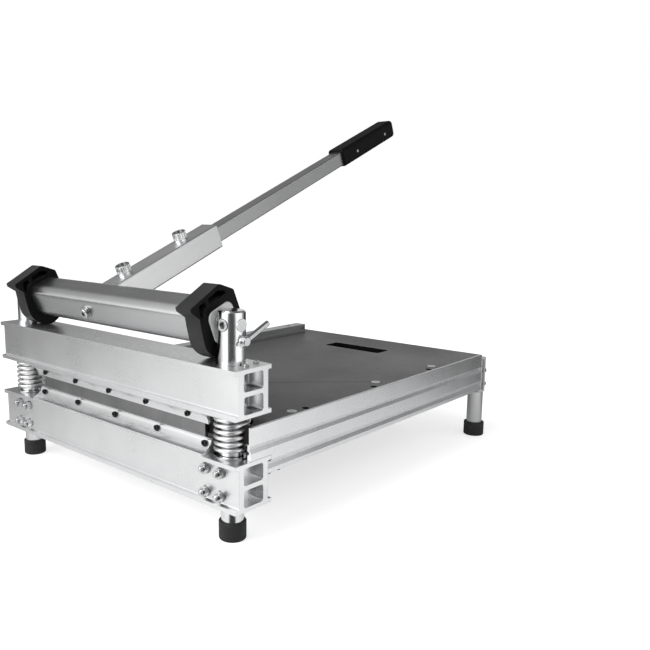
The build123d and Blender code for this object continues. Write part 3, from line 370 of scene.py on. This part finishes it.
FINISHES = {
    beam_metal: ["lower_beam", "upper_beam", "lower_blade_holder", "upper_blade_holder",
                 "clamp_blocks", "upper_blade_backing", "blade_support_bar"],
    rail_metal: ["side_rail_left", "side_rail_right", "rail_bracket_left", "rail_bracket_right"],
    fence_metal: ["fence_bar", "fence_end_cap"],
    leg_metal: ["rear_leg_left", "rear_leg_right"],
    tube_metal: ["cam_tube"],
    channel_metal: ["lever_channel"],
    handle_metal: ["handle_tube"],
    post_steel: ["guide_post_left", "guide_post_right", "guide_bush_left", "guide_bush_right"],
    pin_steel: ["pivot_pin_left", "pivot_pin_right", "pivot_spacers", "lock_screw", "lock_bar"],
    small_steel: ["front_studs", "front_nuts", "post_set_screws", "bush_screws", "lever_bolt", "grip_rivets",
                  "clamp_knob_lower", "clamp_knob_upper", "spring_seats_lower", "spring_seats_upper"],
    spring_steel: ["spring_left", "spring_right"],
    zinc_plate: ["table_screws", "rear_rail", "end_plate_left", "end_plate_right"],
    blade_metal: ["lower_blade", "upper_blade"],
    black_metal: ["lower_blade_screws", "upper_blade_screws", "rear_rail_screws", "fence_screws",
                  "bracket_screws"],
    plastic: ["cam_left", "cam_right", "channel_sleeve", "handle_slider"],
    foot_rubber: ["foot_front_left", "foot_front_right", "foot_rear_left", "foot_rear_right"],
    grip_rubber: ["grip"],
    board_laminate: ["table_board"],
}
for finish, names in FINISHES.items():
    for name in names:
        for material_slot in NODES[name].material_slots:
            material_slot.material = finish


# ---- Floor, light and camera ---------------------------------------------------------------------
TO_CAMERA = (0.68, -0.73, 0.0)  # from the right post; the polished parts mirror a dark gap in the room there
FLOOR_GREY = (0.86, 0.86, 0.86)
FLOOR_REACH = 12.0
FLOOR_TURN = atan2(0.8, 1.0)  # turns the floor's X towards the camera
FLOOR_SEEN, FLOOR_MIRRORED = 0.66, 0.84  # how strongly it glows to the camera and in mirroring surfaces


def floor_shade(made):
    """How pale the floor is in mirroring surfaces: 1 near the camera, and dark in the gap and far back."""
    coordinates = made.coordinates("Object")
    turned = made.mapping(coordinates, Rotation=(0, 0, FLOOR_TURN))
    near = made.spread(made.part(turned, "X"), 0, 1, start=-0.7, end=1.0)
    towards_camera = made.ramp(near, [(0.0, 0.08), (0.12, 0.108), (0.20, 0.147), (0.29, 0.24), (0.385, 0.33),
                                      (0.467, 0.51), (0.52, 0.56), (0.60, 0.62), (0.70, 0.85), (0.78, 1.0)])
    from_post = made.vector("SUBTRACT", coordinates, (POST_RIGHT.x, POST_RIGHT.y, 0))
    facing = made.vector("DOT_PRODUCT", made.vector("NORMALIZE", from_post), TO_CAMERA)
    gap = made.ramp(made.spread(facing, 0, 1, start=0.7, end=1.0),
                    [(0.0, 1.0), (0.45, 0.9), (0.70, 0.09), (1.0, 0.05)])
    to_the_back = made.ramp(made.spread(made.part(from_post, "Y"), 0, 1, start=0.3, end=1.2),
                            [(0.0, 1.0), (0.3, 0.90), (0.6, 0.38), (1.0, 0.28)])
    far_right = made.spread(made.part(from_post, "X"), 0, 1, start=0.5, end=1.6)
    back_shade = made.mix(far_right, to_the_back, (1, 1, 1))
    return made.mix(1.0, made.mix(1.0, towards_camera, gap, "MULTIPLY"), back_shade, "MULTIPLY")


def build_floor():
    """A pale floor that keeps the object's shadow. The metal sees it fall into shade behind the object."""
    mesh = bpy.data.meshes.new("floor")
    corners = [(x * FLOOR_REACH, y * FLOOR_REACH, 0) for x, y in ((-1, -1), (1, -1), (1, 1), (-1, 1))]
    mesh.from_pydata(corners, [], [(0, 1, 2, 3)])
    floor = bpy.data.objects.new("floor", mesh)
    bpy.context.scene.collection.objects.link(floor)
    made = Shader("floor_pale", FLOOR_GREY, metallic=0.0, roughness=0.9, specular=0.0)
    mesh.materials.append(made.mat)
    shade = floor_shade(made)
    mirror = made.rays("Is Glossy Ray", "Is Transmission Ray")
    camera = made.rays("Is Camera Ray")
    made.colour(made.mix(mirror, FLOOR_GREY, made.mix(1.0, shade, FLOOR_GREY, "MULTIPLY")))
    surface = made.main.outputs["BSDF"]
    for rays, glow in ((camera, made.glow(FLOOR_SEEN)), (mirror, made.glow(FLOOR_MIRRORED, shade))):
        added = made.choose(rays, made.glow(0.0), glow)
        surface = made.add("ShaderNodeAddShader", {0: surface, 1: added}).outputs["Shader"]
    made.give(made.nodes["Material Output"].inputs["Surface"], surface)


def build_world():
    """White to the camera. The object sees a room that is palest in front and at the horizon on the left, and
    darker at the back, overhead, at the far left and in the gap towards the camera."""
    world = bpy.data.worlds.new("studio")
    bpy.context.scene.world = world
    world.use_nodes = True
    graph = Graph(world.node_tree)
    direction = graph.coordinates("Generated")
    to_right, to_back, upwards = (graph.part(direction, axis) for axis in "XYZ")
    front_to_back = graph.fade(to_back, -0.5, 0.5, (1.0, 0.85, 0.72, 0.35, 0.20))
    near_horizon = graph.fade(upwards, 0.0, 0.4, (1.0, 0.8, 0.3, 0.0))
    left_to_right = graph.fade(to_right, -0.6, 0.6, (1.0, 0.7, 0.3, 0.2))
    far_left = graph.fade(to_right, -0.88, -0.68, (0.25, 0.75, 1.0))
    facing = graph.vector("DOT_PRODUCT", direction, TO_CAMERA)
    gap = graph.fade(facing, 0.80, 0.98, (1.0, 0.7, 0.22, 0.15))
    overhead = graph.fade(upwards, 0.70, 0.95, (1.0, 0.5, 0.25))
    horizon_strength = 0.92
    horizon = graph.product(near_horizon, left_to_right, horizon_strength)
    level = graph.product(graph.value("ADD", horizon, front_to_back), far_left, gap, overhead)
    room = graph.nodes["Background"]
    graph.give(room.inputs["Strength"], 1.0)
    graph.give(room.inputs["Color"], level)
    white = graph.add("ShaderNodeBackground", {"Color": (1, 1, 1)})
    surface = graph.choose(graph.rays("Is Camera Ray"), room.outputs["Background"],
                           white.outputs["Background"])
    graph.give(graph.nodes["World Output"].inputs["Surface"], surface)


def area_light(name, place, target, size, watts):
    light = bpy.data.lights.new(name, "AREA")
    light.shape, light.size, light.size_y, light.energy = "RECTANGLE", *size, watts
    holder = bpy.data.objects.new(name, light)
    holder.location = place
    holder.rotation_euler = (target - place).to_track_quat("-Z", "Y").to_euler()
    bpy.context.scene.collection.objects.link(holder)


def build_lights():
    """A soft lamp above the front, one low in front, and a weak one behind on the right."""
    target = machine(0, 0.2, 0.12)
    area_light("key", machine(-0.3, -1.3, 2.3), target, size=(1.6, 1.6), watts=22)
    area_light("front", machine(-0.6, -2.4, 1.0), target, size=(2.0, 1.2), watts=10)
    area_light("right", machine(2.2, 1.6, 1.6), target, size=(1.2, 1.2), watts=4)


def build_camera():
    """The photograph's viewpoint, worked out from the edges of the beams, rails and posts."""
    place = machine(0.6928515, -0.5016404, 0.3380489)
    yaw, pitch = 0.7567, -0.1589  # radians
    image_size, focal_length = 650, 721.551  # pixels, as are the next two
    centre_x, centre_y = 249.5756, 323.9741
    data = bpy.data.cameras.new("photo_camera")
    data.sensor_width = 36
    data.lens = focal_length * data.sensor_width / image_size
    data.shift_x = (image_size / 2 - centre_x) / image_size
    data.shift_y = (centre_y - image_size / 2) / image_size
    data.clip_start, data.clip_end = 0.01, 100
    camera = bpy.data.objects.new("photo_camera", data)
    camera.location = place
    forward = Vector((-sin(yaw) * cos(pitch), cos(yaw) * cos(pitch), sin(pitch)))
    camera.rotation_euler = forward.to_track_quat("-Z", "Y").to_euler()
    bpy.context.scene.collection.objects.link(camera)
    bpy.context.scene.camera = camera


build_floor()
build_world()
build_lights()
build_camera()
bpy.context.scene.view_settings.view_transform = "Standard"
